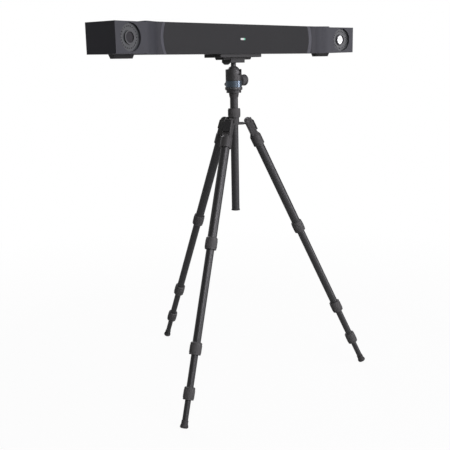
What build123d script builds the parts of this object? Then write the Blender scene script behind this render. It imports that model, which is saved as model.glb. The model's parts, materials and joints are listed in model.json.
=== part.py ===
from build123d import *
import os
from math import cos, radians, sin, sqrt

# Stereo optical tracker bar on a ball head and a folding tripod, in millimetres, +Z up. The model is made
# with the centre column on the Z axis and the floor at z = 0, and moved to its origin as it is written.

# Stance of the tripod
leg_angle = 25.0  # tilt of each leg from the vertical, set by its angle catch
leg_turn = -5.8  # how far the tripod stands turned about its column, away from the bar
pivot_radius = 44.0  # hinge pin axis, out from the column axis
lock_spans = (385.0, 314.0, 129.0)  # pivot to lock 1, lock 1 to lock 2, lock 2 to lock 3
foot_span = 93.5  # lock 3 to the middle of the foot's rounded edge
foot_radius = 12.4
foot_corner = 5.0  # radius of the foot's rounded edge
foot_flare = 8.0
foot_sleeve = 17.0  # top of the foot's sleeve, over the middle of its edge
foot_sleeve_wall = 1.4
foot_pocket = 3.0  # end of the last tube, over the middle of the foot's edge

# Leg tubes and twist locks
tube_radius = 14.0
tube_wall = 1.4
tube_play = 0.4  # radial room between one tube and the next
bush_play = 0.1  # radial room round the guide bush on the top of each inner tube
bush_length = 14.0
tube_length = 368.0
lock_radii = (17.8, 17.3, 16.0)
lock_length = 37.0
lock_play = 0.35  # room between a lock and the tubes that pass through it
lock_shoulder = 2.6
collar_height = 1.6  # threaded collar on the end of a tube, over the tube
collar_length = 14.0
tube_past_lock = 4.0  # how far a tube reaches past the middle of its lock

# Leg casting, angle catch and hinge
ear_radius = 11.0
ear_width = 28.0
fork_gap = 12.0
fork_depth = 20.0
ferrule_radius = 18.0
ferrule_start = 53.0  # below the pivot, along the leg
ferrule_end = 84.5
pin_radius = 3.0
pin_play = 0.05
pin_head_radius = 5.0
pin_head_depth = 2.0
side_play = 0.3  # room beside a lug, tongue or slide
catch_width = 24.0
catch_length = 32.0
catch_plate = 3.0
catch_standoff = 1.5
catch_travel = 6.0
catch_top = -4.0  # top of the pull plate, from the hinge pin
catch_key_width = 8.0
catch_key_length = 10.0
catch_key_rise = 2.0  # from the foot of the plate to the foot of the key
tongue_inner = 9.8  # inner edge of the catch's tongue, out from the hinge pin
tongue_length = 9.0
stop_height = 2.0  # top of the catch's tongue, over the hinge pin
stop_play = 0.2

# Spider and centre column
hub_radius = 15.5
hub_height = 23.0
hub_below_pivot = 11.5
neck_radius = 14.5
neck_height = 13.0
arm_root_height = 8.0
arm_tip_height = 5.5
arm_root_width = 18.0
column_radius = 12.5
column_wall = 1.6
column_play = 0.1
column_length = 355.0
column_raise = 62.0  # from the top of the hub to the top of the column tube
collar_radius = 19.0
collar_length_column = 28.0
end_cap_radius = 13.8
end_cap_height = 12.0
platform_radius = 15.5
platform_height = 14.4
stud_radius = 4.76
hook_thread_radius = 2.55  # tapping size of a quarter inch photographic thread
hook_thread_depth = 9.0

# Ball head, stacked on the platform
flange_radius = 23.0
flange_height = 7.7
scale_radius = 27.2
scale_height = 9.4
spigot_radius = 12.0
spigot_height = 10.0
turn_play = 0.3  # room between pieces that turn on each other
band_radius = 25.3
band_height = 19.0
band_wall = 1.3
cup_radius = 25.0
cup_height = 35.6
ball_radius = 21.0
ball_play = 0.3
ball_below_rim = 10.2  # centre of the ball, under the rim of the cup
friction_radius = 19.0
friction_drop = 13.0  # top of the friction cup, under the centre of the ball
notch_width = 19.0
notch_depth = 18.0
stem_radius = 8.0
stem_height = 29.5  # top of the stem over the centre of the ball
ball_knob_radius = 16.8
ball_knob_start = 27.0
ball_knob_end = 50.8
ball_knob_drop = 24.0  # under the centre of the ball
ball_knob_ridge = 8.0
ball_knob_screw = 3.5
knob_boss_radius = 9.0
pan_knob_radius = 5.7
pan_knob_end = 37.0
pan_screw = 2.0
pan_knob_height = 8.5  # over the foot of the band

# Quick release clamp and plate
clamp_length = 60.0
clamp_width = 40.0
clamp_base = 9.2
jaw_width = 6.5
jaw_lip = 4.6  # how far the jaws stand over the base of the clamp
jaw_travel = 2.0
clamp_knob_radius = 9.5
clamp_knob_length = 21.0
clamp_screw = 2.5
guide_radius = 1.8
guide_out = 20.0  # each guide pin of the jaw, from the middle
guide_start = 4.0
release_length = 119.0
release_width = 38.0
release_height = 7.1
release_web = 3.0
dovetail_depth = 3.0
mount_plate_length = 177.0
mount_plate_width = 74.0
mount_plate_height = 10.2
accessory_spacing = (150.0, 50.0)
accessory_hole_radius = 2.1  # tapping size of an M5 thread

# Camera bar
bar_height = 87.0
end_lower_below = 1.5  # how much less tall each camera end is
end_lower_above = 2.8
end_length = 111.0  # less tall end, in from the outer corner
face_half = 500.0  # front outer corners, from the middle
face_forward = 39.5  # front outer corners, ahead of the centre panel
toe_in = 8.0
end_depth = 112.0
lens_face_length = 115.0
panel_front = 43.0  # face of the centre panel, ahead of the column axis
panel_half = 311.0
panel_sink = 3.0
panel_thick = 2.5
seam_width = 12.0
seam_radius = 100.0
wall = 3.0
cover_depth = 6.0
cover_rim = 12.0  # thick border of the rear cover, where it lies on the housing
lens_inset = 55.0  # centre of a lens, in from the outer corner along its face
recess_radius = 37.3
recess_depth = 10.0
barrel_radius = 18.0
barrel_sink = 3.0
glass_radius = 14.4
glass_sink = 3.0
glass_crown = 0.8
glass_thick = 5.0  # from the edge of its front to its back
led_circle = 28.5
led_count = 24
led_size = 3.2
led_depth = 1.4
ring_thick = 2.5
beam_end_gap = 30.0  # from the end of the beam to the outer corner of the bar
beam_front = 18.0
beam_depth = 28.0
beam_height = 32.0
beam_wall = 3.0
pedestal_half = 90.0
pedestal_wall = 10.0
board_length = 240.0
board_height = 60.0
board_thick = 1.6
board_standoff = 4.0
board_post_radius = 3.0
shield_start = 50.0  # metal can over the board's chips, out from the middle
shield_width = 36.0
shield_depth = 3.0
socket_spacing = 40.0
socket_radius = 7.0
socket_out = 3.5
socket_rim = 1.5
light_length = 20.0
light_height = 6.0
light_out = 0.5
bar_foot_length = 68.0
bar_foot_width = 26.0
bar_foot_inset = 76.0  # middle of a foot, in from the outer corner of the bar
bar_foot_draft = 4.0
foot_sink = 3.0
screw_radius = 2.0
screw_head_radius = 3.8
screw_head_depth = 1.8
screw_length = 13.0
post_radius = 4.5  # pillar in the housing for a screw of the rear cover
post_length = 14.0
cover_screw_out = 200.0  # inner screws of the rear cover, from the middle
cover_screw_edge = 15.0  # outer screws, in from the outer corner of the bar
cover_screw_insets = (7.0, 8.5)  # inner and outer screws, in from the edge
plate_screw_out = 70.0
plate_screw_rows = (-13.0, 8.0)
release_screw_out = 46.0
fin_count = 15
fin_pitch = 12.0
fin_out = 4.0
fin_width = 4.0

# Heights and places that follow from the sizes above
lock_places = (lock_spans[0], lock_spans[0] + lock_spans[1], sum(lock_spans))
foot_place = lock_places[2] + foot_span
catch_bottom = catch_top - catch_length
foot_low = foot_corner + (foot_radius - foot_corner) * sin(radians(leg_angle))
pivot_height = foot_low + foot_place * cos(radians(leg_angle))
tube_radii = [tube_radius - step * (tube_wall + tube_play) for step in range(4)]
hub_bottom = pivot_height - hub_below_pivot
hub_top = hub_bottom + hub_height
column_top = hub_top + column_raise
column_bottom = column_top - column_length
platform_top = column_top + platform_height
flange_top = platform_top + flange_height
scale_top = flange_top + scale_height
band_bottom = scale_top + turn_play
band_top = band_bottom + band_height
cup_top = band_top + cup_height
ball_centre = cup_top - ball_below_rim
stem_top = ball_centre + stem_height
clamp_top = stem_top + clamp_base
release_top = clamp_top + release_height
bar_bottom = release_top + mount_plate_height
bar_top = bar_bottom + bar_height
bar_middle = (bar_bottom + bar_top) / 2
end_step = face_half - end_length
lens_face_start = face_half - lens_face_length
beam_half = face_half - beam_end_gap
bar_foot_middle = face_half - bar_foot_inset
rear_corner = face_half + end_depth * sin(radians(toe_in))
bar_back = -panel_front - face_forward + end_depth * cos(radians(toe_in))
cover_front = bar_back - cover_depth
end_bottom = bar_bottom + end_lower_below
end_top = bar_top - end_lower_above
leg_azimuths = {"left_leg": -150.0 + leg_turn, "right_leg": -30.0 + leg_turn, "rear_leg": 90.0 + leg_turn}

nodes = {}


def rod(radius, low, high):
    """A round bar on the Z axis between two heights."""
    return Pos(0, 0, low) * Cylinder(radius, high - low, align=(Align.CENTER, Align.CENTER, Align.MIN))


def block(low, high):
    """A rectangular block between two opposite corners."""
    size = [b - a for a, b in zip(low, high)]
    return Pos(*low) * Box(*size, align=(Align.MIN, Align.MIN, Align.MIN))


def turned(*outline):
    """A solid of revolution about the Z axis, from corners given as radius and height."""
    return revolve(Plane.XZ * make_face(Polyline(*outline, close=True)), Axis.Z)


def slab(outline, low, high):
    """A plan outline raised between two heights."""
    return Pos(0, 0, low) * extrude(make_face(outline), high - low)


def mirrored_pair(shape):
    """A piece and its mirror image on the other side of the middle."""
    return shape + mirror(shape, Plane.YZ)


# Legs, each modelled with its hinge pin on the Y axis and its tubes running down the Z axis
def leg_tube(step):
    """One drawn tube, with the collar for its lock below and its guide bush above."""
    radius = tube_radii[step]
    bottom = -(foot_place - foot_pocket) if step == 3 else -(lock_places[step] + tube_past_lock)
    top = -(ferrule_start + 1.0) if step == 0 else bottom + tube_length
    tube = rod(radius, bottom, top)
    if step < 3:
        tube += rod(radius + collar_height, bottom, bottom + collar_length)
    if step > 0:
        tube += rod(radius + tube_play - bush_play, top - bush_length, top)
    return tube - rod(radius - tube_wall, bottom, top)


def leg_lock(step):
    """A twist lock: a ring with a sloping shoulder above, held on the collar of its tube."""
    middle, radius = -lock_places[step], lock_radii[step]
    top, bottom = middle + lock_length / 2, middle - lock_length / 2
    seat = middle - tube_past_lock - lock_play
    outer_bore = tube_radii[step] + lock_play
    inner_bore = tube_radii[step + 1] + lock_play
    collar_bore = outer_bore + collar_height
    lip = seat + collar_length + 2 * lock_play
    return turned(
        (outer_bore, top),
        (radius - lock_shoulder, top),
        (radius, top - lock_shoulder),
        (radius, bottom + 1.2),
        (radius - 1.2, bottom),
        (inner_bore, bottom),
        (inner_bore, seat),
        (collar_bore, seat),
        (collar_bore, lip),
        (outer_bore, lip),
    )


def leg_casting():
    """The top of a leg: two ears round the hinge pin, running down into a round ferrule for tube 1."""
    outline = Circle(ear_radius) + Pos(0, -ferrule_start / 2) * Rectangle(2 * ear_radius, ferrule_start)
    body = extrude(Plane.XZ * outline, ear_width / 2, both=True)
    body = fillet(body.edges().filter_by(Axis.Z), 3.0)
    shoulder = ferrule_start - 9.0
    body += turned(
        (0, -shoulder + 2),
        (ear_width / 2 - 2, -shoulder + 2),
        (ferrule_radius, -ferrule_start),
        (ferrule_radius, -ferrule_end + 1),
        (ferrule_radius - 1, -ferrule_end),
        (0, -ferrule_end),
    )
    body -= rod(tube_radius, -ferrule_end, -(ferrule_start + 1.0))
    reach = 2 * ferrule_radius
    body -= block((-reach, -fork_gap / 2, -fork_depth), (reach, fork_gap / 2, reach))
    key = catch_key_width / 2 + side_play
    slot_low = catch_bottom + catch_key_rise - catch_travel - 1
    slot_high = catch_bottom + catch_key_rise + catch_key_length + 1
    body -= block((tongue_inner - 0.5, -key, slot_low), (reach, key, slot_high))
    body -= Rot(90, 0, 0) * rod(pin_radius + pin_play, -ear_width, ear_width)
    head = rod(pin_head_radius + side_play, ear_width / 2 - pin_head_depth - side_play, ear_width)
    return body - Rot(90, 0, 0) * head - Rot(-90, 0, 0) * head


def angle_catch():
    """The spring catch that sets the leg's angle: a pull plate, a tongue between the ears and a guide key."""
    inner = ear_radius + catch_standoff
    half = catch_width / 2
    plate = block((inner, -half, catch_bottom), (inner + catch_plate, half, catch_top))
    plate = fillet(plate.edges().filter_by(Axis.X), 2.5)
    tongue_half = fork_gap / 2 - side_play
    tongue_low, neck_back = catch_top - tongue_length, inner + catch_plate - 1
    tongue = block((tongue_inner, -tongue_half, tongue_low), (inner, tongue_half, stop_height))
    neck = block((inner - 0.1, -tongue_half, tongue_low), (neck_back, tongue_half, catch_top + 2))
    key_half, key_low = catch_key_width / 2, catch_bottom + catch_key_rise
    key = block((tongue_inner, -key_half, key_low), (inner, key_half, key_low + catch_key_length))
    return plate + tongue + neck + key


def leg_foot():
    """The rubber foot, flared round the end of the last tube, with a flat sole and a rounded edge."""
    radius, sole = tube_radii[3], -(foot_place + foot_corner)
    sleeve, top = radius + foot_sleeve_wall, foot_sleeve - foot_place
    flat = foot_radius - foot_corner
    side = Polyline(
        (flat, sole),
        (0, sole),
        (0, top),
        (sleeve, top),
        (sleeve, foot_flare - foot_place),
        (foot_radius, -foot_place),
    )
    edge = ThreePointArc(
        (foot_radius, -foot_place),
        (flat + foot_corner * cos(radians(45)), -foot_place - foot_corner * sin(radians(45))),
        (flat, sole),
    )
    foot = revolve(Plane.XZ * make_face(side + edge), Axis.Z)
    return foot - rod(radius, foot_pocket - foot_place, top)


def leg_place(azimuth):
    """Where a leg stands: its hinge pin out from the column, tilted to its angle."""
    return Rot(0, 0, azimuth) * Pos(pivot_radius, 0, pivot_height) * Rot(0, -leg_angle, 0)


leg_pieces = {"casting": leg_casting(), "angle_catch": angle_catch(), "foot": leg_foot()}
for step in range(4):
    leg_pieces[f"tube_{step + 1}"] = leg_tube(step)
for step in range(3):
    leg_pieces[f"lock_{step + 1}"] = leg_lock(step)
for leg, azimuth in leg_azimuths.items():
    for piece, shape in leg_pieces.items():
        nodes[f"{leg}_{piece}"] = leg_place(azimuth) * shape


# Spider: the hub round the column, with an arm and a lug in the fork of each leg
def spider_arm():
    """One arm along +X, flat and tapering, ending in the lug with its stop tooth."""
    low = -hub_below_pivot
    start, lug_radius = hub_radius - 3 - pivot_radius, tongue_inner - 0.3
    rib = Polyline(
        (start, low),
        (start, low + arm_root_height),
        (-lug_radius - 1, low + 0.8 + arm_tip_height),
        (0, 0),
        (0, -lug_radius),
        (-lug_radius - 1, low + 0.8),
        close=True,
    )
    half = fork_gap / 2 - side_play
    lug = extrude(Plane.XZ * (make_face(rib) + Circle(lug_radius)), half, both=True)
    tooth_low, tooth_high = stop_height + stop_play, stop_height + 5
    tooth = block((tongue_inner - 5, -half, tooth_low), (tongue_inner + 2.5, half, tooth_high))
    lug += Rot(0, -leg_angle, 0) * tooth
    root = Polyline(
        (start, -arm_root_width / 2),
        (start, arm_root_width / 2),
        (-ear_radius - 4, half),
        (-ear_radius - 4, -half),
        close=True,
    )
    web = slab(root, low, low + arm_root_height)
    return Pos(pivot_radius, 0, pivot_height) * (lug + web - Rot(90, 0, 0) * rod(pin_radius, -half, half))


spider = rod(hub_radius, hub_bottom, hub_top) + rod(neck_radius, hub_top, hub_top + neck_height)
for azimuth in leg_azimuths.values():
    spider += Rot(0, 0, azimuth) * spider_arm()
nodes["spider"] = spider - rod(column_radius + column_play, hub_bottom, hub_top + neck_height)

pin_half = ear_width / 2
pin = rod(pin_radius, -pin_half, pin_half) + rod(pin_head_radius, pin_half - pin_head_depth, pin_half)
pin += rod(pin_head_radius, -pin_half, -pin_half + pin_head_depth)
pin = Pos(pivot_radius, 0, pivot_height) * Rot(90, 0, 0) * pin
nodes["hinge_pins"] = Part() + [Rot(0, 0, azimuth) * pin for azimuth in leg_azimuths.values()]

# Centre column, which slides in the hub, its lock, its end cap and the platform for the head
column_bore = column_radius - column_wall
nodes["centre_column"] = rod(column_radius, column_bottom, column_top) - rod(
    column_bore, column_bottom, column_top
)
collar_low = hub_top + turn_play
collar_top = collar_low + collar_length_column
nodes["column_lock_collar"] = turned(
    (neck_radius + turn_play, collar_low),
    (collar_radius - 1, collar_low),
    (collar_radius, collar_low + 1),
    (collar_radius, collar_top - 1),
    (collar_radius - 1, collar_top),
    (column_radius + turn_play, collar_top),
    (column_radius + turn_play, hub_top + neck_height + turn_play),
    (neck_radius + turn_play, hub_top + neck_height + turn_play),
)
cap_low = column_bottom - end_cap_height + 8
nodes["column_end_cap"] = turned(
    (0, cap_low),
    (end_cap_radius, cap_low),
    (end_cap_radius, cap_low + 3),
    (column_radius, column_bottom),
    (column_bore, column_bottom),
    (column_bore, column_bottom + end_cap_height),
    (0, column_bottom + end_cap_height),
) - rod(hook_thread_radius, cap_low, cap_low + hook_thread_depth)
nodes["column_top_plate"] = turned(
    (0, column_top - 18),
    (column_bore, column_top - 18),
    (column_bore, column_top),
    (platform_radius - 2, column_top),
    (platform_radius, platform_top - 4),
    (platform_radius, platform_top),
    (stud_radius, platform_top),
    (stud_radius, platform_top + flange_height + 4),
    (0, platform_top + flange_height + 4),
)

# Ball head: base with its graduated ring, turning socket, ball, and knobs
nodes["pan_base"] = turned(
    (stud_radius, platform_top),
    (flange_radius, platform_top),
    (flange_radius, flange_top),
    (scale_radius - 2.5, flange_top),
    (scale_radius, flange_top + 2.5),
    (scale_radius, scale_top),
    (spigot_radius, scale_top),
    (spigot_radius, scale_top + spigot_height),
    (0, scale_top + spigot_height),
    (0, flange_top + 4),
    (stud_radius, flange_top + 4),
)
drum_radius = band_radius - band_wall
seat_radius = ball_radius + ball_play
rim_radius = sqrt(seat_radius**2 - ball_below_rim**2)
seat_floor = scale_top + spigot_height + 3.0
socket = turned(
    (spigot_radius + turn_play, band_bottom),
    (drum_radius, band_bottom),
    (drum_radius, band_top),
    (cup_radius, band_top + 1),
    (cup_radius, cup_top - 1),
    (cup_radius - 1, cup_top),
    (0, cup_top),
    (0, scale_top + spigot_height + turn_play),
    (spigot_radius + turn_play, scale_top + spigot_height + turn_play),
)
socket -= Pos(0, 0, ball_centre) * Sphere(seat_radius)
socket -= rod(friction_radius, seat_floor, ball_centre)
notch_middle = cup_top - notch_depth + notch_width / 2
notch = Rot(90, 0, 0) * rod(notch_width / 2, 0, 2 * cup_radius)
notch += block((-notch_width / 2, -2 * cup_radius, 0), (notch_width / 2, 0, notch_depth))
socket -= Pos(0, 0, notch_middle) * notch
knob_axis = ball_centre - ball_knob_drop
knob_seat = ball_knob_start - turn_play
boss = Pos(0, 0, knob_axis) * Rot(0, 90, 0) * rod(knob_boss_radius, friction_radius + 1, knob_seat)
socket += boss
screw_tunnel = rod(ball_knob_screw + turn_play, friction_radius - 3, knob_seat)
socket -= Pos(0, 0, knob_axis) * Rot(0, 90, 0) * screw_tunnel
pan_axis = band_bottom + pan_knob_height
pan_tunnel = Pos(0, 0, pan_axis) * Rot(-90, 0, 0) * rod(pan_screw + turn_play, spigot_radius, band_radius + 1)
nodes["socket_housing"] = socket - pan_tunnel
band = rod(band_radius, band_bottom, band_top) - rod(drum_radius, band_bottom, band_top)
nodes["socket_band"] = band - pan_tunnel - boss

friction_cup = turned(
    (0, seat_floor),
    (friction_radius - turn_play, seat_floor),
    (friction_radius - turn_play, ball_centre - friction_drop),
    (0, ball_centre - friction_drop),
)
nodes["friction_cup"] = friction_cup - Pos(0, 0, ball_centre) * Sphere(seat_radius)
nodes["ball"] = Pos(0, 0, ball_centre) * Sphere(ball_radius)


def grip_knob(radius, start, end, ridge, screw, screw_start):
    """A turned knob along +X: a waisted grip with a rounded face, on its screw."""
    grip = turned(
        (0, start),
        (radius - 3, start),
        (radius, start + 3),
        (radius, start + ridge),
        (radius - 1, start + ridge + 1),
        (radius - 1, end - ridge - 1),
        (radius, end - ridge),
        (radius, end - 2),
        (radius - 2, end),
        (0, end),
    )
    return Rot(0, 90, 0) * (grip + rod(screw, screw_start, start))


ball_knob = grip_knob(
    ball_knob_radius,
    ball_knob_start,
    ball_knob_end,
    ball_knob_ridge,
    ball_knob_screw,
    friction_radius + turn_play,
)
nodes["ball_lock_knob"] = Pos(0, 0, knob_axis) * ball_knob
pan_knob = turned(
    (0, band_radius + turn_play),
    (pan_knob_radius, band_radius + turn_play),
    (pan_knob_radius, pan_knob_end - 1),
    (pan_knob_radius - 1, pan_knob_end),
    (0, pan_knob_end),
) + rod(pan_screw, spigot_radius + turn_play, band_radius + turn_play)
nodes["pan_lock_knob"] = Pos(0, 0, pan_axis) * Rot(-90, 0, 0) * pan_knob
nodes["ball_stem"] = rod(stem_radius, ball_centre, stem_top) - Pos(0, 0, ball_centre) * Sphere(seat_radius)

# Quick release clamp: a base with its fixed jaw at the front, and a jaw at the back that a knob draws in
half_length, half_width = clamp_length / 2, clamp_width / 2
jaw_top = clamp_top + jaw_lip
jaw_front = half_width - jaw_width
plate_half = release_width / 2
plate_low = clamp_top + release_height - release_web - dovetail_depth
dovetail = Polyline(
    (-plate_half, release_top),
    (-plate_half, release_top - release_web),
    (-plate_half + dovetail_depth, plate_low),
    (-plate_half + dovetail_depth, clamp_top),
    (plate_half - dovetail_depth, clamp_top),
    (plate_half - dovetail_depth, plate_low),
    (plate_half, release_top - release_web),
    (plate_half, release_top),
    close=True,
)
release_plate = extrude(Plane.YZ * make_face(dovetail), release_length / 2, both=True)
jaw_outline = offset(make_face(dovetail), turn_play, kind=Kind.INTERSECTION)
jaw_room = extrude(Plane.YZ * jaw_outline, clamp_length, both=True)
base = block((-half_length, -half_width, stem_top), (half_length, jaw_front - turn_play, clamp_top))
front_jaw = block((-half_length, -half_width, stem_top), (half_length, -half_width + jaw_width, jaw_top))
back_jaw = block((-half_length, jaw_front, stem_top), (half_length, half_width, jaw_top))
screw_height = stem_top + clamp_base / 2
screw_place = Pos(0, 0, screw_height) * Rot(-90, 0, 0)
base_tunnel = rod(clamp_screw + turn_play, 2.0, half_width)
guide_place = Pos(guide_out, 0, screw_height) * Rot(-90, 0, 0)
guides = mirrored_pair(guide_place * rod(guide_radius, guide_start, jaw_front + 1))
guide_holes = mirrored_pair(guide_place * rod(guide_radius + bush_play, guide_start - 1, jaw_front))
clamp_body = chamfer((base + front_jaw).edges().filter_by(Axis.X).group_by(Axis.Z)[0], 1.0)
nodes["clamp_body"] = clamp_body - release_plate - screw_place * base_tunnel - guide_holes
jaw_tunnel = screw_place * rod(clamp_screw + turn_play, jaw_front - 1, half_width + 1)
nodes["clamp_jaw"] = back_jaw - jaw_room - jaw_tunnel + guides
clamp_knob_start = half_width + turn_play
clamp_knob = turned(
    (0, clamp_knob_start),
    (clamp_knob_radius - 4, clamp_knob_start),
    (clamp_knob_radius - 4, clamp_knob_start + 2),
    (clamp_knob_radius, clamp_knob_start + 3),
    (clamp_knob_radius, clamp_knob_start + clamp_knob_length - 2),
    (clamp_knob_radius - 2, clamp_knob_start + clamp_knob_length),
    (0, clamp_knob_start + clamp_knob_length),
) + rod(clamp_screw, 4.5, clamp_knob_start)
nodes["clamp_knob"] = screw_place * clamp_knob


# Camera bar
def face_point(along, inward=0.0):
    """A plan point at the right end: along the lens face from its outer corner, and in behind the face."""
    turn = radians(toe_in)
    x = face_half - along * cos(turn) + inward * sin(turn)
    return x, -panel_front - face_forward + along * sin(turn) + inward * cos(turn)


lens_x, lens_y = face_point(lens_inset)
lens_place = Pos(lens_x, lens_y, bar_middle) * Rot(0, 0, -toe_in) * Rot(-90, 0, 0)
inner_face = face_point((face_half - lens_face_start) / cos(radians(toe_in)))
bezel_front = -panel_front - panel_sink
slope = (-cos(radians(toe_in)), sin(radians(toe_in)))
front_half = [
    Line((0, bezel_front), (panel_half + seam_width, bezel_front)),
    Spline(
        (panel_half + seam_width, bezel_front),
        inner_face,
        tangents=((1, 0), (-slope[0], -slope[1])),
    ),
    Line(inner_face, face_point(0)),
    Line(face_point(0), (rear_corner, bar_back)),
    Line((rear_corner, bar_back), (0, bar_back)),
]
outline = Curve() + front_half + [mirror(edge, Plane.YZ) for edge in front_half]
outer = slab(outline, bar_bottom, bar_top)
for low, high in ((bar_bottom, end_bottom), (end_top, bar_top)):
    outer -= mirrored_pair(block((end_step, -2 * end_depth, low), (2 * face_half, 2 * end_depth, high)))


def seam_outline(middle):
    """The panel's outline in elevation: straight above and below, bowed outward at each end."""
    half = bar_height / 2 + 2
    inset = seam_radius - sqrt(seam_radius**2 - half**2)
    right = ThreePointArc((middle - inset, -half), (middle, 0), (middle - inset, half))
    left = ThreePointArc((-middle + inset, half), (-middle, 0), (-middle + inset, -half))
    across = Line((middle - inset, half), (-middle + inset, half))
    under = Line((-middle + inset, -half), (middle - inset, -half))
    return make_face(right + across + left + under)


def elevation(y):
    """A plane that faces the front of the bar, with its origin on the bar's middle line."""
    return Plane(origin=(0, y, bar_middle), x_dir=(1, 0, 0), z_dir=(0, -1, 0))


seam_low, seam_high = seam_outline(panel_half), seam_outline(panel_half + seam_width)
sink = loft([elevation(-panel_front) * seam_low, elevation(bezel_front) * seam_high], ruled=True)
panel_seat = -panel_front + panel_thick
panel = extrude(elevation(panel_seat) * seam_low, panel_thick)
slice_of_bar = block((-face_half, -2 * end_depth, bar_bottom), (face_half, 2 * end_depth, bar_top))
panel &= slice_of_bar
inside_corner = face_point(wall + 1, wall)
inside_face = face_point((face_half - lens_face_start) / cos(radians(toe_in)), wall)
hollow = Polyline(
    (0, panel_seat + wall),
    (panel_half, panel_seat + wall),
    (inside_face[0] - 2, inside_face[1] + 2),
    inside_corner,
    (rear_corner - wall - 1, cover_front),
    (0, cover_front),
)
hollow = hollow + mirror(hollow, Plane.YZ)
housing = outer - slab(hollow, end_bottom + wall, end_top - wall)
housing -= block((-face_half * 2, cover_front, 0), (face_half * 2, bar_back + 1, 2 * bar_top))
wells = lens_place * rod(recess_radius + wall, 0.5, recess_depth + wall)
housing += mirrored_pair(wells) & outer
bores = rod(recess_radius, -wall, recess_depth) + rod(barrel_radius, 0, recess_depth + 2 * wall)
housing -= mirrored_pair(lens_place * bores)

light = SlotOverall(light_length, light_height)
light_back = panel_seat + wall
pill = extrude(elevation(light_back) * light, light_back + panel_front + light_out)
nodes["status_light"] = pill
nodes["centre_panel"] = panel - pill
housing = housing - sink - panel - pill

glass_edge = barrel_sink + glass_sink
barrels = lens_place * (
    rod(barrel_radius, barrel_sink, 4 * barrel_radius) - rod(glass_radius, 0, glass_edge + glass_thick)
)
barrels -= block((0, -beam_front, 0), (2 * face_half, end_depth, 2 * bar_top))
nodes["lens_barrels"] = mirrored_pair(barrels)
glass_curve = (glass_radius**2 + glass_crown**2) / (2 * glass_crown)
dome = Pos(0, 0, glass_edge - glass_crown + glass_curve) * Sphere(glass_curve)
glass = dome & rod(glass_radius, 0, glass_edge + glass_thick)
nodes["camera_lenses"] = mirrored_pair(lens_place * glass)
ring = rod(recess_radius, recess_depth - ring_thick, recess_depth) - rod(
    barrel_radius, recess_depth - ring_thick, recess_depth
)
led_front = recess_depth - ring_thick
led = Pos(led_circle, 0, led_front + led_depth / 2) * Box(led_size, led_size, led_depth)
for index in range(led_count):
    ring -= Rot(0, 0, 360 * index / led_count) * led
nodes["illuminator_rings"] = mirrored_pair(lens_place * ring)

beam_back = -beam_front + beam_depth
beam_low, beam_high = bar_middle - beam_height / 2, bar_middle + beam_height / 2
beam = block((-beam_half, -beam_front, beam_low), (beam_half, beam_back, beam_high))
bore_half = beam_height / 2 - beam_wall
beam -= block(
    (-beam_half, -beam_front + beam_wall, bar_middle - bore_half),
    (beam_half, beam_back - beam_wall, bar_middle + bore_half),
)
nodes["chassis_beam"] = beam
pedestal = block((-pedestal_half, -beam_front, bar_bottom + 1), (pedestal_half, beam_back, beam_low))
pedestal_room = pedestal_half - pedestal_wall
pedestal -= block(
    (-pedestal_room, -beam_front + wall, bar_bottom),
    (pedestal_room, beam_back - wall, bar_middle),
)
housing += pedestal

board_front = beam_back + board_standoff
board_back = board_front + board_thick
board_low, board_high = bar_middle - board_height / 2, bar_middle + board_height / 2
board = block((-board_length / 2, board_front, board_low), (board_length / 2, board_back, board_high))
for side in (-1, 1):
    for rise in (-1, 1):
        post = Pos(side * board_length / 2.5, 0, bar_middle + rise * beam_height / 3) * Rot(-90, 0, 0)
        board += post * rod(board_post_radius, beam_back, board_front)
    socket_x = side * socket_spacing / 2
    barrel = rod(socket_radius, board_back, bar_back + socket_out)
    barrel -= rod(socket_radius - socket_rim, bar_back, bar_back + socket_out)
    board += Pos(socket_x, 0, bar_middle) * Rot(-90, 0, 0) * barrel
shield_low, shield_high = bar_middle - shield_width / 2, bar_middle + shield_width / 2
shield_end = (shield_start + shield_width, board_back + shield_depth, shield_high)
board += block((shield_start, board_back, shield_low), shield_end)
nodes["control_board"] = board

cover = outer & block((-2 * face_half, cover_front, 0), (2 * face_half, bar_back + 1, 2 * bar_top))
cover -= block(
    (-rear_corner + cover_rim, cover_front - 1, bar_bottom + cover_rim),
    (rear_corner - cover_rim, cover_front + wall, bar_top - cover_rim),
)
fin_half = bar_height / 2 - cover_rim
for index in range(fin_count):
    for side in (-1, 1):
        fin_x = side * (socket_spacing + index * fin_pitch)
        cover += block(
            (fin_x - fin_width / 2, bar_back - 0.5, bar_middle - fin_half),
            (fin_x + fin_width / 2, bar_back + fin_out, bar_middle + fin_half),
        )
sockets = Part() + [
    Pos(side * socket_spacing / 2, 0, bar_middle) * Rot(-90, 0, 0) * rod(socket_radius, 0, 2 * bar_back)
    for side in (-1, 1)
]
cover -= sockets

screw = turned(
    (0, 0),
    (screw_head_radius, 0),
    (screw_radius, screw_head_depth),
    (screw_radius, screw_length),
    (0, screw_length),
)
cover_screws = []
for x, inset in zip((cover_screw_out, face_half - cover_screw_edge), cover_screw_insets):
    for side in (-1, 1):
        for rise in (-1, 1):
            z = bar_middle + rise * (bar_height / 2 - inset)
            post = rod(post_radius, cover_front - post_length, cover_front)
            housing += Pos(side * x, 0, z) * Rot(-90, 0, 0) * post
            cover_screws.append(Pos(side * x, bar_back, z) * Rot(90, 0, 0) * screw)
cover_screws = Part() + cover_screws

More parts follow.
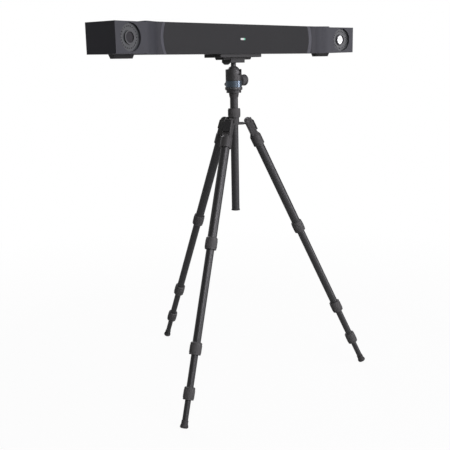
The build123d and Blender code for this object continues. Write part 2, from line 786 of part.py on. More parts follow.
mount_plate = block(
    (-mount_plate_length / 2, -mount_plate_width / 2, release_top),
    (mount_plate_length / 2, mount_plate_width / 2, bar_bottom),
)
mount_plate = chamfer(mount_plate.edges().filter_by(Axis.Z), 1.5)
mount_plate = chamfer(mount_plate.edges().group_by(Axis.Z)[0], 0.8)
for side_x in (-1, 1):
    for side_y in (-1, 1):
        place = Pos(side_x * accessory_spacing[0] / 2, side_y * accessory_spacing[1] / 2, 0)
        mount_plate -= place * rod(accessory_hole_radius, release_top, bar_bottom)
plate_screws = Part() + [Pos(plate_screw_out, y, release_top) * screw for y in plate_screw_rows]
plate_screws = mirrored_pair(plate_screws)
release_screws = mirrored_pair(Pos(release_screw_out, 0, clamp_top) * screw)

foot_upper = Plane.XY.offset(end_bottom) * Rectangle(bar_foot_length, bar_foot_width)
foot_lower = Plane.XY.offset(release_top) * Rectangle(
    bar_foot_length - 2 * bar_foot_draft, bar_foot_width - 1.5 * bar_foot_draft
)
bar_foot = Pos(bar_foot_middle, 0, 0) * loft([foot_upper, foot_lower], ruled=True)
foot_screw_place = Pos(bar_foot_middle, 0, release_top)
bar_foot -= foot_screw_place * rod(screw_head_radius + 0.4, 0, foot_sink)
foot_screws = mirrored_pair(foot_screw_place * Pos(0, 0, foot_sink) * screw)
bar_feet = mirrored_pair(bar_foot)

nodes["bar_feet"] = bar_feet - foot_screws
nodes["front_housing"] = housing - cover_screws - plate_screws - foot_screws
nodes["rear_cover"] = cover - cover_screws
nodes["mounting_plate"] = mount_plate - plate_screws - release_screws
nodes["quick_release_plate"] = release_plate - release_screws
nodes["housing_screws"] = cover_screws + plate_screws + release_screws + foot_screws

# The origin is under the middle of the whole object, on the floor
feet = [nodes[f"{leg}_foot"].bounding_box() for leg in leg_azimuths]
origin_y = (min(box.min.Y for box in feet) + max(box.max.Y for box in feet)) / 2
os.makedirs("parts", exist_ok=True)
for name, shape in nodes.items():
    export_step(Pos(0, -origin_y, 0) * shape, f"parts/{name}.step")
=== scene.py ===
import json
from math import cos, pi, radians, sin

import bmesh
import bpy
from mathutils import Matrix, Vector


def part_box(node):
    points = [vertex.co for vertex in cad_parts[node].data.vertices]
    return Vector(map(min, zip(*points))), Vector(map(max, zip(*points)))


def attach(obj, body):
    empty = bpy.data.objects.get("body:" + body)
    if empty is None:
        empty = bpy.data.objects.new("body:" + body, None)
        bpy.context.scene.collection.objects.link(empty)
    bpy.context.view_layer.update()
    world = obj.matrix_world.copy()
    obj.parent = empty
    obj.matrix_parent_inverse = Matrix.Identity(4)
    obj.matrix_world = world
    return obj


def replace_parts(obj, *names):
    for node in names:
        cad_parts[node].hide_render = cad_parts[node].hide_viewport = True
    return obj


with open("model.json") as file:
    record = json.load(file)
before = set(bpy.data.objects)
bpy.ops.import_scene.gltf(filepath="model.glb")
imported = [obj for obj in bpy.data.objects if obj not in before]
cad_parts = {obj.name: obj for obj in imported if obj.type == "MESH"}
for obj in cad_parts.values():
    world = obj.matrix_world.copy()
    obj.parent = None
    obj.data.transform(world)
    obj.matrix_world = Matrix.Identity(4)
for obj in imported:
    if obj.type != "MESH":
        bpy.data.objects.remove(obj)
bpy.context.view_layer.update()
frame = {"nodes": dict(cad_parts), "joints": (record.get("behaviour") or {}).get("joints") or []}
joint_of = {joint["name"]: joint for joint in frame["joints"]}
legs = ("left_leg", "right_leg", "rear_leg")


# Spider of the tripod: the hub and its three arms, one aluminium casting with a fine powder coat.
# The coat is a hard black film with a faint orange-peel, rubbed a little shinier where hands touch it.
class Reading:
    """A socket whose value varies over a surface. Sums on it add the nodes that work them out."""

    def __init__(self, shading, socket):
        self.shading = shading
        self.socket = socket

    def sum(self, operation, first, second):
        return self.shading.node("Math", {"operation": operation}, {0: first, 1: second})

    def __add__(self, other):
        return self.sum("ADD", self, other)

    def __radd__(self, other):
        return self.sum("ADD", other, self)

    def __sub__(self, other):
        return self.sum("SUBTRACT", self, other)

    def __rsub__(self, other):
        return self.sum("SUBTRACT", other, self)

    def __mul__(self, other):
        return self.sum("MULTIPLY", self, other)

    def __rmul__(self, other):
        return self.sum("MULTIPLY", other, self)


class Shading:
    """The nodes of a material or of the world, round one shader, with one way to add any other node."""

    def __init__(self, owner, shader):
        owner.use_nodes = True
        self.tree = owner.node_tree
        self.shader = self.tree.nodes[shader]

    def feed(self, node, sockets):
        for key, value in sockets.items():
            if isinstance(value, Reading):
                self.tree.links.new(value.socket, node.inputs[key])
            else:
                node.inputs[key].default_value = value

    def vary(self, **sockets):
        """Constants and readings for the shader's own sockets, named with _ where Blender has a space."""
        self.feed(self.shader, {key.replace("_", " "): value for key, value in sockets.items()})

    def node(self, kind, settings, sockets, output=0):
        made = self.tree.nodes.new("ShaderNode" + kind)
        for setting, value in settings.items():
            if setting == "stops":
                for stop, (place, level) in zip(made.color_ramp.elements, value):
                    stop.position, stop.color = place, (level, level, level, 1)
            else:
                setattr(made, setting, value)
        self.feed(made, sockets)
        return Reading(self, made.outputs[output])

    def place(self):
        return self.node("TexCoord", {}, {}, "Object")

    def along(self, axis, vector=None):
        """How far the place, or the vector that is given, reaches along one axis."""
        return self.node("SeparateXYZ", {}, {"Vector": vector or self.place()}, axis)

    def noise(self, scale, detail=3.0, stretch=None, roughness=0.5):
        """Even noise, with scale in cells to the metre, drawn out along an axis where stretch is given."""
        place = self.place()
        if stretch:
            place = self.node("Mapping", {}, {"Vector": place, "Scale": stretch})
        sockets = {"Vector": place, "Scale": scale, "Detail": detail, "Roughness": roughness}
        return self.node("TexNoise", {"noise_dimensions": "3D"}, sockets)

    def ramp(self, reading, *stops):
        return self.node("ValToRGB", {"stops": stops}, {"Fac": reading})

    def blend(self, amount, first, second):
        return self.node("Mix", {"data_type": "RGBA"}, {"Factor": amount, 6: first, 7: second}, 2)


class Finish(Shading):
    """A material's finish: a principled shader, with its constants first."""

    def __init__(self, name, **sockets):
        self.material = bpy.data.materials.new(name)
        super().__init__(self.material, "Principled BSDF")
        self.vary(**sockets)

    def bump(self, height, depth, strength, edge=0.0004):
        """Relief from a height between 0 and 1, on edges broken by a small radius, both in metres."""
        rounded = self.node("Bevel", {"samples": 4}, {"Radius": edge})
        sockets = {"Height": height, "Distance": depth, "Strength": strength, "Normal": rounded}
        self.vary(Normal=self.node("Bump", {}, sockets))


def grey(level, warm=0.0):
    """A grey at a linear level, a little warm or, below zero, a little cool."""
    return level * (1 + warm), level, level * (1 - warm), 1.0


def dress(node, finish):
    for slot in frame["nodes"][node].material_slots:
        slot.material = finish.material


casting_coat = Finish("casting_coat", Specular_IOR_Level=0.35)
casting_peel = casting_coat.noise(900.0, detail=4.0)
casting_cloud = casting_coat.noise(35.0)
casting_coat.vary(
    Base_Color=casting_coat.blend(casting_cloud, grey(0.062, 0.01), grey(0.08, 0.01)),
    Roughness=casting_coat.noise(120.0, detail=4.0) * 0.25 + 0.36,
)
casting_coat.bump(casting_peel, 0.00006, 0.5)
dress("spider", casting_coat)

# Hinge pins: turned steel pins through the lugs of the spider, blackened, with a hexagon socket in each end.
# They are pressed into the spider and turn in the ears of the leg castings.
pin_radius = 0.003
pin_half = 0.014
pin_head_radius = 0.005
pin_head_depth = 0.002
pin_socket = 0.0025
socket_depth = 0.0015
rim_chamfer = 0.0002
head_sides = 24
sharpest_smooth = radians(35)


def show(name, mesh, finish, body):
    """A finished piece on its body, smooth but for its real edges."""
    mesh.shade_smooth()
    mesh.set_sharp_from_angle(angle=sharpest_smooth)
    mesh.materials.append(finish.material)
    made = bpy.data.objects.new(name, mesh)
    bpy.context.scene.collection.objects.link(made)
    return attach(made, body)


def gathered(name, built):
    """One mesh from a bmesh, with its faces turned outward."""
    bmesh.ops.recalc_face_normals(built, faces=built.faces)
    mesh = bpy.data.meshes.new(name)
    built.to_mesh(mesh)
    built.free()
    return mesh


def facing(point, direction):
    """A place at a point, with its Z axis along a direction."""
    return Matrix.Translation(point) @ Vector(direction).to_track_quat("Z", "Y").to_matrix().to_4x4()


def hoop(built, place, rings, count, wave=None):
    """Turned rings joined in order. A ring is a radius, a height and the share of the wave that it takes."""
    made = []
    for radius, height, share in rings:
        ring = []
        for step in range(count):
            angle = 2 * pi * step / count
            reach = radius + (share * wave(angle) if wave else 0.0)
            ring.append(built.verts.new(place @ Vector((reach * cos(angle), reach * sin(angle), height))))
        made.append(ring)
    for low, high in zip(made, made[1:]):
        for step in range(count):
            after = (step + 1) % count
            built.faces.new((low[step], low[after], high[after], high[step]))
    return made


def turned(built, place, rings, count, wave=None):
    """Turned rings, closed at both ends."""
    made = hoop(built, place, rings, count, wave)
    built.faces.new(made[0])
    built.faces.new(made[-1])


def hexagon(across):
    """How far a hexagon socket's wall is from its middle, less its half width across flats."""
    return lambda angle: across / cos((angle + pi / 6) % (pi / 3) - pi / 6) - across


def socketed(built, place, across, rim, below):
    """A pin or screw with a hexagon socket in its face, at height 0, and the rings below its rim."""
    face = [
        (across, -socket_depth, 1.0),
        (across, 0.0, 1.0),
        (rim - rim_chamfer, 0.0, 0.0),
        (rim, -rim_chamfer, 0.0),
    ]
    turned(built, place, face + below, head_sides, hexagon(across))


black_steel = Finish("black_steel", Metallic=1.0)
steel_lines = black_steel.noise(60.0, stretch=(30.0, 30.0, 1.0))
black_steel.vary(
    Base_Color=black_steel.blend(steel_lines, grey(0.09), grey(0.16, 0.02)),
    Roughness=steel_lines * 0.25 + 0.25,
)
pin_below = [
    (pin_head_radius, -pin_head_depth, 0.0),
    (pin_radius, -pin_head_depth, 0.0),
    (pin_radius, -pin_half, 0.0),
]
pins = bmesh.new()
for leg in legs:
    hinge = joint_of[leg + "_hinge"]
    for side in (-1, 1):
        outward = Vector(hinge["axis"]) * side
        place = facing(Vector(hinge["pos_m"]) + outward * pin_half, outward)
        socketed(pins, place, pin_socket, pin_head_radius, pin_below)
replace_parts(show("pins", gathered("pins", pins), black_steel, "spider"), "hinge_pins")

# Leg castings: the top of each leg, with its two ears and its round ferrule, cast and coated like the spider.
# The spring catch that holds the leg's angle slides in its outer side, and is moulded in hard nylon.
catch_nylon = Finish("catch_nylon", Specular_IOR_Level=0.4)
nylon_grain = catch_nylon.noise(1500.0, detail=2.0)
catch_nylon.vary(
    Base_Color=catch_nylon.blend(catch_nylon.noise(60.0), grey(0.03), grey(0.042)),
    Roughness=nylon_grain * 0.2 + 0.4,
)
catch_nylon.bump(nylon_grain, 0.00004, 0.4)
for leg in legs:
    dress(leg + "_casting", casting_coat)
    dress(leg + "_angle_catch", catch_nylon)

# Leg tubes: four drawn aluminium tubes to a leg, black anodised.
# Drawing leaves faint lines along them, and the locks rub them a little.
tube_anodised = Finish("tube_anodised", Metallic=0.5, Specular_IOR_Level=0.4)
tube_rubs = tube_anodised.noise(25.0, detail=6.0, stretch=(6.0, 6.0, 1.0), roughness=0.7)
tube_grain = tube_anodised.noise(2200.0, detail=2.0)
tube_anodised.vary(
    Base_Color=tube_anodised.blend(tube_rubs, grey(0.062), grey(0.074, -0.01)),
    Roughness=tube_rubs * 0.12 + tube_grain * 0.05 + 0.33,
)
for leg in legs:
    for section in range(1, 5):
        dress(f"{leg}_tube_{section}", tube_anodised)

# Twist locks: a moulded nut on the end of each tube, with a ribbed rubber grip stretched over it.
# A quarter turn of the nut squeezes a split bush onto the next tube.
lock_radii = (0.0178, 0.0173, 0.0160)
grip_half = 0.0115
grip_drop = 0.0015
grip_sunk = 0.0006
grip_edge = 0.0001
grip_stand = 0.0003
grip_lip = 0.0012
lip_share = 0.6
grip_ribs = 22
rib_rise = 0.0004
steps_to_a_rib = 8
same_place = 1e-6


def ribs(count, rise):
    """Rounded ribs with narrow grooves between them."""
    return lambda angle: rise * (1 - max(0.0, cos(count * angle)) ** 6)


def sleeve(name, place, radius, low, high, count, rise, finish, body):
    """A ribbed grip pulled over a round piece, with rolled lips, closed on its inside."""
    seat, edge, crest = radius - grip_sunk, radius + grip_edge, radius + grip_stand
    rings = [
        (seat, low, 0.0),
        (edge, low, 0.0),
        (crest, low + grip_lip / 2, lip_share),
        (crest, low + grip_lip, 1.0),
        (crest, high - grip_lip, 1.0),
        (crest, high - grip_lip / 2, lip_share),
        (edge, high, 0.0),
        (seat, high, 0.0),
        (seat, low, 0.0),
    ]
    built = bmesh.new()
    hoop(built, place, rings, count * steps_to_a_rib, ribs(count, rise))
    bmesh.ops.remove_doubles(built, verts=built.verts, dist=same_place)
    return show(name, gathered(name, built), finish, body)


grip_rubber = Finish("grip_rubber", Specular_IOR_Level=0.3)
rubber_dust = grip_rubber.noise(45.0, detail=5.0, roughness=0.65)
dusty = grip_rubber.ramp(rubber_dust, (0.45, 0.0), (0.75, 1.0))
grip_rubber.vary(
    Base_Color=grip_rubber.blend(dusty, grey(0.1, 0.01), grey(0.115, 0.02)),
    Roughness=rubber_dust * 0.2 + 0.52,
)
grip_rubber.bump(grip_rubber.noise(1800.0, detail=2.0), 0.00005, 0.5)
lock_moulding = Finish("lock_moulding", Specular_IOR_Level=0.35)
lock_grain = lock_moulding.noise(1600.0, detail=2.0)
lock_moulding.vary(
    Base_Color=lock_moulding.blend(lock_moulding.noise(70.0), grey(0.088, 0.01), grey(0.105, 0.01)),
    Roughness=lock_grain * 0.2 + 0.4,
)
lock_moulding.bump(lock_grain, 0.00004, 0.5)
low, high = -grip_half - grip_drop, grip_half - grip_drop
for leg in legs:
    for number, radius in enumerate(lock_radii, 1):
        lock = f"{leg}_lock_{number}"
        dress(lock, lock_moulding)
        turn = joint_of[lock + "_turn"]
        place, name = facing(turn["pos_m"], turn["axis"]), lock + "_grip"
        sleeve(name, place, radius, low, high, grip_ribs, rib_rise, grip_rubber, lock)

# Feet: a moulded rubber bulb pushed over the end of the last tube.
# The rubber is greyed by the floor underneath.
foot_rubber = Finish("foot_rubber", Specular_IOR_Level=0.3)
foot_scuff = foot_rubber.noise(160.0, detail=6.0, roughness=0.7)
foot_low = foot_rubber.ramp(foot_rubber.along("Z") * 60.0, (0.0, 1.0), (0.6, 0.0))
foot_rubber.vary(
    Base_Color=foot_rubber.blend(foot_low * foot_scuff, grey(0.068, 0.01), grey(0.15, 0.03)),
    Roughness=foot_scuff * 0.2 + 0.62,
)
foot_rubber.bump(foot_rubber.noise(1300.0), 0.00008, 0.6)
for leg in legs:
    dress(leg + "_foot", foot_rubber)

# Centre column: a drawn and anodised tube like the legs', with a coated platform screwed into its top
# and a rubber cap pushed into its bottom. Its lock is a moulded nut on the neck of the hub.
dress("centre_column", tube_anodised)
dress("column_top_plate", casting_coat)
dress("column_end_cap", foot_rubber)
dress("column_lock_collar", lock_moulding)
collar_low, collar_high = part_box("column_lock_collar")
column_x = (collar_low.x + collar_high.x) / 2
column_y = (collar_low.y + collar_high.y) / 2
collar_radius = (collar_high.x - collar_low.x) / 2
collar_margin = 0.004
collar_ribs = 26
place = Matrix.Translation((column_x, column_y, 0))
low, high = collar_low.z + collar_margin, collar_high.z - collar_margin
sleeve(
    "column_lock_grip", place, collar_radius, low, high, collar_ribs, rib_rise,
    grip_rubber, "column_lock",
)

# Ball head: turned aluminium, black anodised and lightly bead-blasted, with a plastic cup under the ball.
# The band round its foot is lacquered blue-grey, and the ball is hard-anodised and dull.
head_anodised = Finish("head_anodised", Metallic=0.6, Specular_IOR_Level=0.35)
head_blast = head_anodised.noise(1400.0)
head_anodised.vary(
    Base_Color=head_anodised.blend(head_anodised.noise(40.0), grey(0.078), grey(0.092, 0.01)),
    Roughness=head_blast * 0.2 + 0.4,
)
head_anodised.bump(head_blast, 0.00003, 0.5)
ball_coat = Finish("ball_coat", Metallic=0.5)
ball_rub = ball_coat.noise(70.0, detail=6.0, roughness=0.7)
ball_coat.vary(
    Base_Color=ball_coat.blend(ball_rub, grey(0.12), grey(0.15)),
    Roughness=ball_rub * 0.3 + 0.33,
)
band_lacquer = Finish("band_lacquer", Metallic=0.7, Coat_Weight=0.15, Coat_Roughness=0.2)
band_smear = band_lacquer.noise(50.0, detail=5.0, roughness=0.6)
band_lacquer.vary(
    Base_Color=band_lacquer.blend(band_smear, (0.106, 0.14, 0.175, 1), (0.138, 0.18, 0.225, 1)),
    Roughness=band_smear * 0.12 + 0.22,
)
cup_acetal = Finish("cup_acetal")
cup_acetal.vary(
    Base_Color=cup_acetal.blend(cup_acetal.noise(90.0), grey(0.5, 0.04), grey(0.6, 0.03)),
    Roughness=cup_acetal.noise(300.0) * 0.2 + 0.35,
)
dress("socket_housing", head_anodised)
dress("ball_stem", head_anodised)
dress("ball", ball_coat)
dress("socket_band", band_lacquer)
dress("friction_cup", cup_acetal)

# Pan base: an anodised ring on the column's platform, on which the head turns, with a scale in degrees.
# Its lines are engraved every five degrees, longer at ten and at thirty, and filled with pale paint.
dress("pan_base", tube_anodised)
scale_low, scale_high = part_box("pan_base")
scale_radius = (scale_high.x - scale_low.x) / 2
scale_gap = 0.0012
scale_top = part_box("socket_band")[0].z - scale_gap
line_width = 0.0004
line_lift = 0.00004
line_depth = 0.0003
long_line = 0.0042
middle_line = 0.0030
short_line = 0.0020
scale_marks = bmesh.new()
for degree in range(0, 360, 5):
    angle = radians(degree)
    length = long_line if degree % 30 == 0 else middle_line if degree % 10 == 0 else short_line
    outward = Vector((cos(angle), sin(angle), 0))
    across = Vector((-sin(angle), cos(angle), 0)) * line_width / 2
    top = Vector((column_x, column_y, scale_top)) + outward * (scale_radius + line_lift)
    fall = Vector((0, 0, length))
    corners = [top - across, top + across, top + across - fall, top - across - fall]
    outer = [scale_marks.verts.new(corner) for corner in corners]
    inner = [scale_marks.verts.new(corner - outward * line_depth) for corner in corners]
    scale_marks.faces.new(outer)
    scale_marks.faces.new(inner[::-1])
    for step in range(4):
        after = (step + 1) % 4
        scale_marks.faces.new((outer[step], outer[after], inner[after], inner[step]))
scale_paint = Finish("scale_paint", Roughness=0.6)
scale_paint.vary(Base_Color=scale_paint.blend(scale_paint.noise(400.0, detail=4.0), grey(0.35), grey(0.55)))
show("scale_marks", gathered("scale_marks", scale_marks), scale_paint, "column")

# Knobs of the head: turned and grained black plastic on steel studs. The large ball lock has a ribbed rim,
# and the small pan lock and the clamp's knob are finely knurled.
knob_plastic = Finish("knob_plastic", Specular_IOR_Level=0.35)
knob_grain = knob_plastic.noise(1500.0, detail=2.0)
knob_plastic.vary(
    Base_Color=knob_plastic.blend(knob_plastic.noise(80.0), grey(0.09, -0.01), grey(0.115, -0.01)),
    Roughness=knob_grain * 0.2 + 0.38,
)
knob_plastic.bump(knob_grain, 0.00004, 0.4)
for node in ("ball_lock_knob", "pan_lock_knob", "clamp_knob"):
    dress(node, knob_plastic)
for name, body, radius, low, high, count, rise in (
    ("ball_lock_rim_outer", "ball_lock", 0.0168, -0.0078, -0.0024, 30, 0.0005),
    ("ball_lock_rim_inner", "ball_lock", 0.0168, -0.0204, -0.0158, 30, 0.0005),
    ("pan_lock_rim", "pan_lock", 0.0057, -0.0095, -0.0018, 18, 0.0004),
    ("clamp_knob_rim", "clamp_knob", 0.0095, 0.0040, 0.0180, 24, 0.0005),
):
    turn = joint_of[body + "_turn"]
    place = facing(turn["pos_m"], turn["axis"])
    sleeve(name, place, radius, low, high, count, rise, knob_plastic, body)

# Clamp and plates: milled aluminium jaws, the dovetail plate between them and the thick plate that spreads
# the bar's weight, all with one textured black coat.
plate_coat = Finish("plate_coat", Specular_IOR_Level=0.3)
plate_peel = plate_coat.noise(900.0, detail=4.0)
plate_coat.vary(
    Base_Color=plate_coat.blend(plate_coat.noise(35.0), grey(0.046), grey(0.056)),
    Roughness=plate_peel * 0.2 + 0.42,
)
plate_coat.bump(plate_peel, 0.00005, 0.5)
for node in ("clamp_body", "clamp_jaw", "mounting_plate", "quick_release_plate"):
    dress(node, plate_coat)

# Housing of the camera bar: one long aluminium casting, stove-enamelled in satin dark grey with a cool cast.
# Its ends turn inwards a little, so that both cameras look at the same place. Its colour carries a painted
# highlight, lighter enamel on the curved bevels beside the centre panel, and painted shade, darker enamel in
# the hollows next to them.
panel_sink = 0.003
bevel_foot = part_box("centre_panel")[0].y - panel_sink
bar_enamel = Finish("bar_enamel", Specular_IOR_Level=0.2)
enamel_peel = bar_enamel.noise(700.0)
enamel_cloud = bar_enamel.noise(9.0, detail=4.0)
enamel_depth = bar_enamel.along("Y")
enamel_front = bar_enamel.along("Y", bar_enamel.node("TexCoord", {}, {}, "Normal")) * -1.0
on_front = bar_enamel.ramp(enamel_front, (0.3, 0.0), (0.5, 1.0))
# Masks for painted light: a painted highlight on the bevels, and painted shade in the hollows next to them.
painted_highlight_on_bevel = bar_enamel.ramp((enamel_depth - bevel_foot) * 1000.0, (0.1, 0.0), (0.4, 1.0))
painted_shade_in_hollow = bar_enamel.ramp((bevel_foot - enamel_depth) * 100.0, (0.0, 1.0), (0.9, 0.0))
enamel = bar_enamel.blend(enamel_cloud, (0.066, 0.068, 0.077, 1), (0.073, 0.075, 0.085, 1))
# Painted shade: darker enamel in the hollows beside the bevels, on the front only.
enamel = bar_enamel.blend((1 - painted_highlight_on_bevel) * on_front * painted_shade_in_hollow, enamel, (0.046, 0.047, 0.054, 1))
bar_enamel.vary(
    # Painted highlight: lighter enamel on the front of the curved bevels.
    Base_Color=bar_enamel.blend(painted_highlight_on_bevel * on_front, enamel, (0.108, 0.110, 0.124, 1)),
    Roughness=enamel_peel * 0.05 + enamel_cloud * 0.1 + 0.4,
)
bar_enamel.bump(enamel_peel, 0.00002, 0.4)
dress("front_housing", bar_enamel)
dress("rear_cover", bar_enamel)

# Centre panel: a cover moulded in fine-grained dark plastic.
# It lies sunk between the two curved bevels of the housing.
panel_grain = Finish("panel_grain", Specular_IOR_Level=0.2)
grain = panel_grain.noise(1900.0, detail=2.0)
panel_grain.vary(
    Base_Color=panel_grain.blend(panel_grain.noise(7.0), grey(0.034, -0.02), grey(0.038, -0.02)),
    Roughness=grain * 0.16 + 0.52,
)
panel_grain.bump(grain, 0.00003, 0.5)
dress("centre_panel", panel_grain)

# Status light: a small pill of diffusing plastic, flush in the panel.
# It is lit white, with a green lamp in its right end.
light_low, light_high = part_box("status_light")
white_lit = (0.42, 0.42, 0.42, 1)
green_lit = (0.07, 0.34, 0.2, 1)
status_glow = Finish("status_glow", Roughness=0.35, Emission_Strength=1.0)
light_share = (status_glow.along("X") - light_low.x) * (1 / (light_high.x - light_low.x))
green_end = status_glow.ramp(light_share, (0.62, 0.0), (0.68, 1.0))
status_glow.vary(
    Base_Color=status_glow.blend(green_end, grey(0.25), (0.08, 0.2, 0.14, 1)),
    Emission_Color=status_glow.blend(green_end, white_lit, green_lit),
)
dress("status_light", status_glow)

# Illuminator rings: dark plastic covers round each camera, with small lamps set in a circle of pockets.
# Each lamp is a dome of smoked resin.
lens_low, lens_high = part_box("camera_lenses")
toe_in = radians(8.0)
lamp_circle = 0.0285
lamp_count = 24
lamp_radius = 0.0013
lamp_back = -0.0030
lamp_shoulder = -0.0024
lamp_rises = [rise * pi / 10 for rise in range(5)]
lamp_sides = 12
ring_cover = Finish("ring_cover", Specular_IOR_Level=0.45)
cover_grain = ring_cover.noise(1700.0, detail=2.0)
ring_cover.vary(
    Base_Color=ring_cover.blend(ring_cover.noise(50.0), (0.077, 0.082, 0.084, 1), (0.085, 0.090, 0.093, 1)),
    Roughness=cover_grain * 0.15 + 0.36,
)
ring_cover.bump(cover_grain, 0.00002, 0.4)
dress("illuminator_rings", ring_cover)
smoked_resin = Finish("smoked_resin", Roughness=0.12, Coat_Weight=0.6)
resin_cloud = smoked_resin.noise(500.0)
smoked_resin.vary(
    Base_Color=smoked_resin.blend(resin_cloud, (0.012, 0.008, 0.010, 1), (0.03, 0.018, 0.022, 1)),
)


def lens_mid(side):
    """Middle of a lens's front, from the box of both."""
    reach = max(abs(lens_low.x), abs(lens_high.x))
    half = (lens_high.z - lens_low.z) / 2
    x = reach - half * cos(toe_in)
    return Vector((side * x, lens_low.y + half * sin(toe_in), (lens_low.z + lens_high.z) / 2))


def lens_place(side):
    """A lens's place, with Z pointing out of the bar along the camera's axis."""
    return facing(lens_mid(side), (-side * sin(toe_in), -cos(toe_in), 0))


lamp_rings = [(lamp_radius, lamp_back, 0.0)]
for rise in lamp_rises:
    lamp_rings.append((lamp_radius * cos(rise), lamp_shoulder + lamp_radius * sin(rise), 0.0))
lamps = bmesh.new()
for side in (-1, 1):
    for step in range(lamp_count):
        angle = 2 * pi * step / lamp_count
        spot = Matrix.Translation((lamp_circle * cos(angle), lamp_circle * sin(angle), 0))
        turned(lamps, lens_place(side) @ spot, lamp_rings, lamp_sides)
show("illuminator_lamps", gathered("illuminator_lamps", lamps), smoked_resin, "bar")

# Cameras: a turned and coated barrel with a stepped front, and the coated front glass that it holds.
# The glass is nearly flat, so that it mirrors one even tone.
glass_radius = 0.0144
glass_depth = 0.0050
glass_crown = 0.00015
glass_reaches = (1.0, 0.8, 0.6, 0.4, 0.2, 0.05)
glass_sides = 48
barrel_coat = Finish("barrel_coat", Specular_IOR_Level=0.45)
barrel_lines = barrel_coat.noise(400.0)
barrel_coat.vary(
    Base_Color=barrel_coat.blend(barrel_lines, grey(0.075, -0.03), grey(0.085, -0.03)),
    Roughness=barrel_lines * 0.15 + 0.36,
)
dress("lens_barrels", barrel_coat)
lens_coating = Finish("lens_coating", Roughness=0.06, IOR=1.9, Coat_Weight=0.5)
coating_drift = lens_coating.noise(60.0, detail=2.0)
lens_coating.vary(
    Base_Color=lens_coating.blend(coating_drift, (0.055, 0.055, 0.06, 1), (0.068, 0.065, 0.072, 1)),
)
glass_rings = [(glass_radius, -glass_depth, 0.0)]
for reach in glass_reaches:
    glass_rings.append((glass_radius * reach, -glass_crown * reach**2, 0.0))
lens_glass = bmesh.new()
for side in (-1, 1):
    turned(lens_glass, lens_place(side), glass_rings, glass_sides)
made = show("lens_glass", gathered("lens_glass", lens_glass), lens_coating, "bar")
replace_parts(made, "camera_lenses")

# Inside the housing: a square beam in mill-finish aluminium that keeps the cameras true, and the board
# that reads them, in green resist, with its two round sockets reaching through the back.
board_thickness = 0.0016
beam_mill = Finish("beam_mill", Metallic=1.0)
mill_lines = beam_mill.noise(30.0, detail=4.0, stretch=(1.0, 25.0, 25.0))
beam_mill.vary(
    Base_Color=beam_mill.blend(mill_lines, grey(0.5), grey(0.62)),
    Roughness=mill_lines * 0.3 + 0.25,
)
dress("chassis_beam", beam_mill)
board_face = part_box("control_board")[0].y + board_thickness
board_resist = Finish("board_resist")
resist_green = board_resist.blend(board_resist.noise(300.0), (0.02, 0.09, 0.035, 1), (0.03, 0.12, 0.05, 1))
on_socket = board_resist.ramp((board_resist.along("Y") - board_face) * 400.0, (0.4, 0.0), (0.8, 1.0))
board_resist.vary(
    Base_Color=board_resist.blend(on_socket, resist_green, grey(0.04)),
    Roughness=board_resist.noise(200.0) * 0.2 + 0.25,
)
dress("control_board", board_resist)

# Feet of the bar: black moulded blocks under its ends, on which it stands when it is off the tripod.
# Each is held by one screw, and has the dull grain of the leg catches.
dress("bar_feet", catch_nylon)

# Screws: countersunk machine screws in blackened steel, with hexagon sockets.
# They hold the rear cover, the plates and the bar's feet.
screw_socket = 0.0013
screw_head_radius = 0.0038
screw_head_depth = 0.0018
screw_shank_radius = 0.002


def lumps(mesh):
    """The corners of each separate solid in a mesh."""
    built = bmesh.new()
    built.from_mesh(mesh)
    bmesh.ops.remove_doubles(built, verts=built.verts, dist=same_place)
    left = set(built.verts)
    found = []
    for start in built.verts:
        if start not in left:
            continue
        left.remove(start)
        front, corners = [start], []
        while front:
            corner = front.pop()
            corners.append(corner.co.copy())
            beside = {edge.other_vert(corner) for edge in corner.link_edges} & left
            left -= beside
            front.extend(beside)
        found.append(corners)
    built.free()
    return found


screws = bmesh.new()
for corners in lumps(frame["nodes"]["housing_screws"].data):
    low = Vector([min(corner[axis] for corner in corners) for axis in range(3)])
    high = Vector([max(corner[axis] for corner in corners) for axis in range(3)])
    middle, size = (low + high) / 2, high - low
    if size.y > size.z:
        place, length = facing((middle.x, high.y, middle.z), (0, 1, 0)), size.y
    else:
        place, length = facing((middle.x, middle.y, low.z), (0, 0, -1)), size.z
    screw_below = [(screw_shank_radius, -screw_head_depth, 0.0), (screw_shank_radius, -length, 0.0)]
    socketed(screws, place, screw_socket, screw_head_radius, screw_below)
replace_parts(show("screws", gathered("screws", screws), black_steel, "bar"), "housing_screws")

# Studio: a white floor and backdrop that run together, and five soft lamps: the key in front of the bar,
# a small strong one to its right, a weak one behind the camera, one overhead and one behind the object.
floor_size = 60.0
floor_mesh = bpy.data.meshes.new("floor")
corners = [(x * floor_size, y * floor_size, 0) for x, y in ((-1, -1), (1, -1), (1, 1), (-1, 1))]
floor_mesh.from_pydata(corners, [], [(0, 1, 2, 3)])
floor = bpy.data.objects.new("floor", floor_mesh)
bpy.context.scene.collection.objects.link(floor)
near_white = 0.95
floor_mirrored = 0.25
floor_bounce = 0.25
floor_pale = 0.88
shadow_reach = 0.9
white_reach = 2.2
studio_floor = Finish("studio_floor", Roughness=0.9)
seen = studio_floor.node("LightPath", {}, {}, "Is Camera Ray")
for ray in ("Is Glossy Ray", "Is Transmission Ray"):
    seen = seen + studio_floor.node("LightPath", {}, {}, ray) * floor_mirrored
studio_floor.vary(Base_Color=studio_floor.blend(seen, grey(floor_bounce), grey(floor_pale)))
out = studio_floor.node("VectorMath", {"operation": "LENGTH"}, {0: studio_floor.place()}, "Value")
out = (out - shadow_reach) * (1 / (white_reach - shadow_reach))
whiteness = studio_floor.ramp(out, (0.0, near_white), (1.0, 1.0))
joined = studio_floor.node("MixShader", {}, {
    0: seen * whiteness,
    1: Reading(studio_floor, studio_floor.shader.outputs[0]),
    2: studio_floor.node("Emission", {}, {}),
})
studio_floor.feed(studio_floor.tree.nodes["Material Output"], {"Surface": joined})
floor_mesh.materials.append(studio_floor.material)

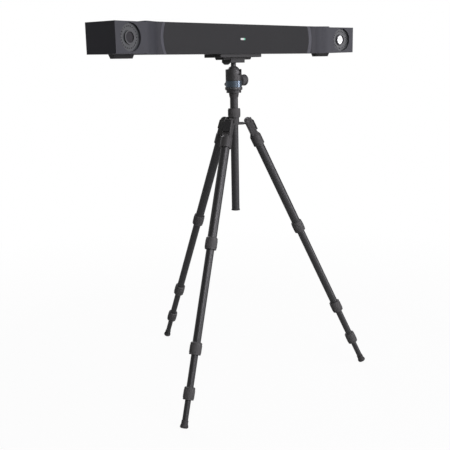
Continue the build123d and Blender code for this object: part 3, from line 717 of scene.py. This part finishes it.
room_grey = 0.045
room_mirrored_low = 0.02
room_mirrored_high = 0.5
world = bpy.data.worlds.new("studio")
bpy.context.scene.world = world
studio = Shading(world, "Background")
towards = studio.along("Y", studio.node("TexCoord", {}, {}, "Generated"))
room_mirrored = studio.ramp(towards * 0.5 + 0.5, (0.6, room_mirrored_low), (0.95, room_mirrored_high))
seen = studio.node("LightPath", {}, {}, "Is Camera Ray")
for ray in ("Is Glossy Ray", "Is Transmission Ray"):
    seen = seen + studio.node("LightPath", {}, {}, ray) * room_mirrored
studio.vary(Color=studio.blend(seen, grey(room_grey, 0.06), grey(1.0)))

camera_spot = Vector((-1.6332, -1.7505, 1.0213))
camera_heading = radians(43.625)
camera_pitch = radians(12.42)
camera_roll = radians(1.104)
camera_data = bpy.data.cameras.new("camera")
camera_data.lens = 58.70
camera_data.sensor_width = 36.0
camera = bpy.data.objects.new("camera", camera_data)
bpy.context.scene.collection.objects.link(camera)
turn = Matrix.Rotation(-camera_heading, 4, "Z") @ Matrix.Rotation(pi / 2 - camera_pitch, 4, "X")
camera.matrix_world = Matrix.Translation(camera_spot) @ turn @ Matrix.Rotation(-camera_roll, 4, "Z")
bpy.context.scene.camera = camera

lit_side = 0.1
lit_height = 0.95
target = Vector((lit_side, column_y, lit_height))
plain = (1.01, 0.98, 1.04)
warm = (1.0, 0.96, 0.91)
for name, azimuth, rise, distance, width, height, radiance, tint in (
    ("key_lamp", -8.0, 20.0, 4.0, 2.5, 2.0, 6.2, plain),
    ("side_lamp", 35.0, 2.0, 6.0, 1.5, 1.5, 12.0, plain),
    ("fill_lamp", -45.0, 15.0, 4.0, 2.0, 2.0, 0.2, warm),
    ("top_lamp", 20.0, 72.0, 4.0, 2.4, 2.4, 1.2, plain),
    ("back_lamp", 160.0, 25.0, 4.0, 2.6, 2.0, 4.5, plain),
):
    lamp_data = bpy.data.lights.new(name, "AREA")
    lamp_data.shape = "RECTANGLE"
    lamp_data.size = width
    lamp_data.size_y = height
    lamp_data.energy = radiance * pi * width * height
    lamp_data.color = tint
    lamp = bpy.data.objects.new(name, lamp_data)
    bpy.context.scene.collection.objects.link(lamp)
    azimuth, rise = radians(azimuth), radians(rise)
    direction = Vector((sin(azimuth) * cos(rise), -cos(azimuth) * cos(rise), sin(rise)))
    lamp.matrix_world = facing(target + direction * distance, direction)

bpy.context.scene.view_settings.view_transform = "Standard"
